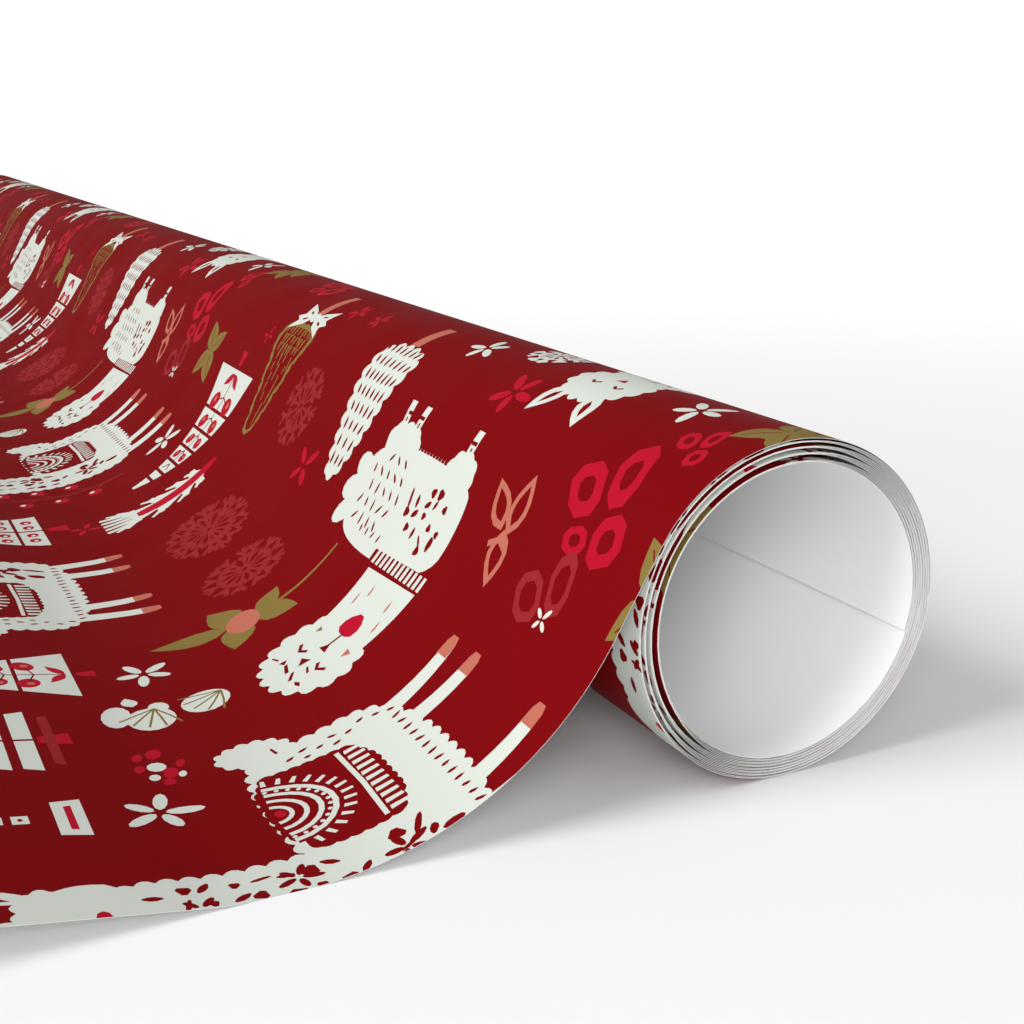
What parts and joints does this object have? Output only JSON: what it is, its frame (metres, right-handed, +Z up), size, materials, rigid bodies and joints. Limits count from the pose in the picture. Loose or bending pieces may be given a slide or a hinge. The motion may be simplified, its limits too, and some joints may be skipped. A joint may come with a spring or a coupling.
{
  "type": "wrapping paper roll",
  "caption": "Coreless roll of printed wrapping paper lying on its side, outer end drawn over the top and laid out in a sheet.",
  "frame": {"origin": "middle of the roll's axis, half-way along the hollow", "axes": "+Y along the roll's axis away from the near end, +Z up, the sheet lies out towards -X"},
  "size_m": [0.233, 0.762, 0.046],
  "materials": {
    "printed_paper": "satin"
  },
  "bodies": {
    "turn_15": {"turn_15": "printed_paper"},
    "turn_14": {"turn_14": "printed_paper"},
    "turn_13": {"turn_13": "printed_paper"},
    "turn_12": {"turn_12": "printed_paper"},
    "turn_11": {"turn_11": "printed_paper"},
    "turn_10": {"turn_10": "printed_paper"},
    "turn_09": {"turn_09": "printed_paper"},
    "turn_08": {"turn_08": "printed_paper"},
    "turn_07": {"turn_07": "printed_paper"},
    "turn_06": {"turn_06": "printed_paper"},
    "turn_05": {"turn_05": "printed_paper"},
    "turn_04": {"turn_04": "printed_paper"},
    "turn_03": {"turn_03": "printed_paper"},
    "turn_02": {"turn_02": "printed_paper"},
    "turn_01": {"turn_01": "printed_paper"},
    "ramp_1": {"ramp_1": "printed_paper"},
    "ramp_2": {"ramp_2": "printed_paper"},
    "ramp_3": {"ramp_3": "printed_paper"},
    "ramp_4": {"ramp_4": "printed_paper"},
    "ramp_5": {"ramp_5": "printed_paper"},
    "ramp_6": {"ramp_6": "printed_paper"},
    "foot": {"foot": "printed_paper"},
    "sheet_1": {"sheet_1": "printed_paper"},
    "sheet_2": {"sheet_2": "printed_paper"},
    "sheet_3": {"sheet_3": "printed_paper"},
    "sheet_4": {"sheet_4": "printed_paper"},
    "sheet_5": {"sheet_5": "printed_paper"}
  },
  "joints": [
    {"name": "roll_turns", "type": "hinge", "parent": "turn_15", "child": "turn_14", "pos_m": [0, 0, 0], "axis": [0, -1, 0], "range_deg": [0, 18]},
    {"name": "telescope_13", "type": "slide", "parent": "turn_14", "child": "turn_13", "axis": [0, -1, 0], "range_m": [-0.004, 0.004]},
    {"name": "telescope_12", "type": "slide", "parent": "turn_13", "child": "turn_12", "axis": [0, -1, 0], "range_m": [-0.004, 0.004]},
    {"name": "telescope_11", "type": "slide", "parent": "turn_12", "child": "turn_11", "axis": [0, -1, 0], "range_m": [-0.004, 0.004]},
    {"name": "telescope_10", "type": "slide", "parent": "turn_11", "child": "turn_10", "axis": [0, -1, 0], "range_m": [-0.004, 0.004]},
    {"name": "telescope_09", "type": "slide", "parent": "turn_10", "child": "turn_09", "axis": [0, -1, 0], "range_m": [-0.004, 0.004]},
    {"name": "telescope_08", "type": "slide", "parent": "turn_09", "child": "turn_08", "axis": [0, -1, 0], "range_m": [-0.004, 0.004]},
    {"name": "telescope_07", "type": "slide", "parent": "turn_08", "child": "turn_07", "axis": [0, -1, 0], "range_m": [-0.004, 0.004]},
    {"name": "telescope_06", "type": "slide", "parent": "turn_07", "child": "turn_06", "axis": [0, -1, 0], "range_m": [-0.004, 0.004]},
    {"name": "telescope_05", "type": "slide", "parent": "turn_06", "child": "turn_05", "axis": [0, -1, 0], "range_m": [-0.004, 0.004]},
    {"name": "telescope_04", "type": "slide", "parent": "turn_05", "child": "turn_04", "axis": [0, -1, 0], "range_m": [-0.004, 0.004]},
    {"name": "telescope_03", "type": "slide", "parent": "turn_04", "child": "turn_03", "axis": [0, -1, 0], "range_m": [-0.004, 0.004]},
    {"name": "telescope_02", "type": "slide", "parent": "turn_03", "child": "turn_02", "axis": [0, -1, 0], "range_m": [-0.004, 0.004]},
    {"name": "telescope_01", "type": "slide", "parent": "turn_02", "child": "turn_01", "axis": [0, -1, 0], "range_m": [-0.004, 0.004]},
    {"name": "lift_1", "type": "hinge", "parent": "turn_15", "child": "ramp_1", "pos_m": [-0.01995, 0, 0.01152], "axis": [0, 1, 0], "range_deg": [0, 6], "stiffness_Nm_per_rad": 0.02},
    {"name": "lift_2", "type": "hinge", "parent": "ramp_1", "child": "ramp_2", "pos_m": [-0.02636, 0, 0.00042], "axis": [0, 1, 0], "range_deg": [0, 6], "stiffness_Nm_per_rad": 0.02},
    {"name": "lift_3", "type": "hinge", "parent": "ramp_2", "child": "ramp_3", "pos_m": [-0.03208, 0, -0.00745], "axis": [0, 1, 0], "range_deg": [0, 6], "stiffness_Nm_per_rad": 0.02},
    {"name": "lift_4", "type": "hinge", "parent": "ramp_3", "child": "ramp_4", "pos_m": [-0.0393, 0, -0.01395], "axis": [0, 1, 0], "range_deg": [0, 6], "stiffness_Nm_per_rad": 0.02},
    {"name": "lift_5", "type": "hinge", "parent": "ramp_4", "child": "ramp_5", "pos_m": [-0.04772, 0, -0.01881], "axis": [0, 1, 0], "range_deg": [0, 6], "stiffness_Nm_per_rad": 0.02},
    {"name": "lift_6", "type": "hinge", "parent": "ramp_5", "child": "ramp_6", "pos_m": [-0.05697, 0, -0.02182], "axis": [0, 1, 0], "range_deg": [0, 6], "stiffness_Nm_per_rad": 0.02},
    {"name": "lift_7", "type": "hinge", "parent": "ramp_6", "child": "foot", "pos_m": [-0.06663, 0, -0.02284], "axis": [0, 1, 0], "range_deg": [0, 6], "stiffness_Nm_per_rad": 0.02},
    {"name": "curl_1", "type": "hinge", "parent": "foot", "child": "sheet_1", "pos_m": [-0.07793, 0, -0.02221], "axis": [0, 1, 0], "range_deg": [0, 9], "stiffness_Nm_per_rad": 0.02},
    {"name": "sheet_draws_out", "type": "slide", "parent": "sheet_1", "child": "sheet_2", "axis": [-1, 0, 0], "range_m": [0, 0.0075]},
    {"name": "curl_2", "type": "hinge", "parent": "sheet_2", "child": "sheet_3", "pos_m": [-0.1574, 0, -0.01493], "axis": [0, 1, 0], "range_deg": [0, 9], "stiffness_Nm_per_rad": 0.02},
    {"name": "curl_3", "type": "hinge", "parent": "sheet_3", "child": "sheet_4", "pos_m": [-0.17504, 0, -0.01637], "axis": [0, 1, 0], "range_deg": [0, 9], "stiffness_Nm_per_rad": 0.02},
    {"name": "curl_4", "type": "hinge", "parent": "sheet_4", "child": "sheet_5", "pos_m": [-0.19255, 0, -0.01901], "axis": [0, 1, 0], "range_deg": [0, 9], "stiffness_Nm_per_rad": 0.02}
  ],
  "couplings": [
    {"joint": "telescope_12", "follows": "telescope_13", "ratio": 1},
    {"joint": "telescope_11", "follows": "telescope_13", "ratio": 1},
    {"joint": "telescope_10", "follows": "telescope_13", "ratio": 1},
    {"joint": "telescope_09", "follows": "telescope_13", "ratio": 1},
    {"joint": "telescope_08", "follows": "telescope_13", "ratio": 1},
    {"joint": "telescope_07", "follows": "telescope_13", "ratio": 1},
    {"joint": "telescope_06", "follows": "telescope_13", "ratio": 1},
    {"joint": "telescope_05", "follows": "telescope_13", "ratio": 1},
    {"joint": "telescope_04", "follows": "telescope_13", "ratio": 1},
    {"joint": "telescope_03", "follows": "telescope_13", "ratio": 1},
    {"joint": "telescope_02", "follows": "telescope_13", "ratio": 1},
    {"joint": "telescope_01", "follows": "telescope_13", "ratio": 1},
    {"joint": "lift_2", "follows": "lift_1", "ratio": 1},
    {"joint": "lift_3", "follows": "lift_1", "ratio": 1},
    {"joint": "lift_4", "follows": "lift_1", "ratio": 1},
    {"joint": "lift_5", "follows": "lift_1", "ratio": 1},
    {"joint": "lift_6", "follows": "lift_1", "ratio": 1},
    {"joint": "lift_7", "follows": "lift_1", "ratio": 1},
    {"joint": "sheet_draws_out", "follows": "roll_turns", "m_per_rad": 0.02304},
    {"joint": "curl_2", "follows": "curl_1", "ratio": 1},
    {"joint": "curl_3", "follows": "curl_1", "ratio": 1},
    {"joint": "curl_4", "follows": "curl_1", "ratio": 1}
  ]
}
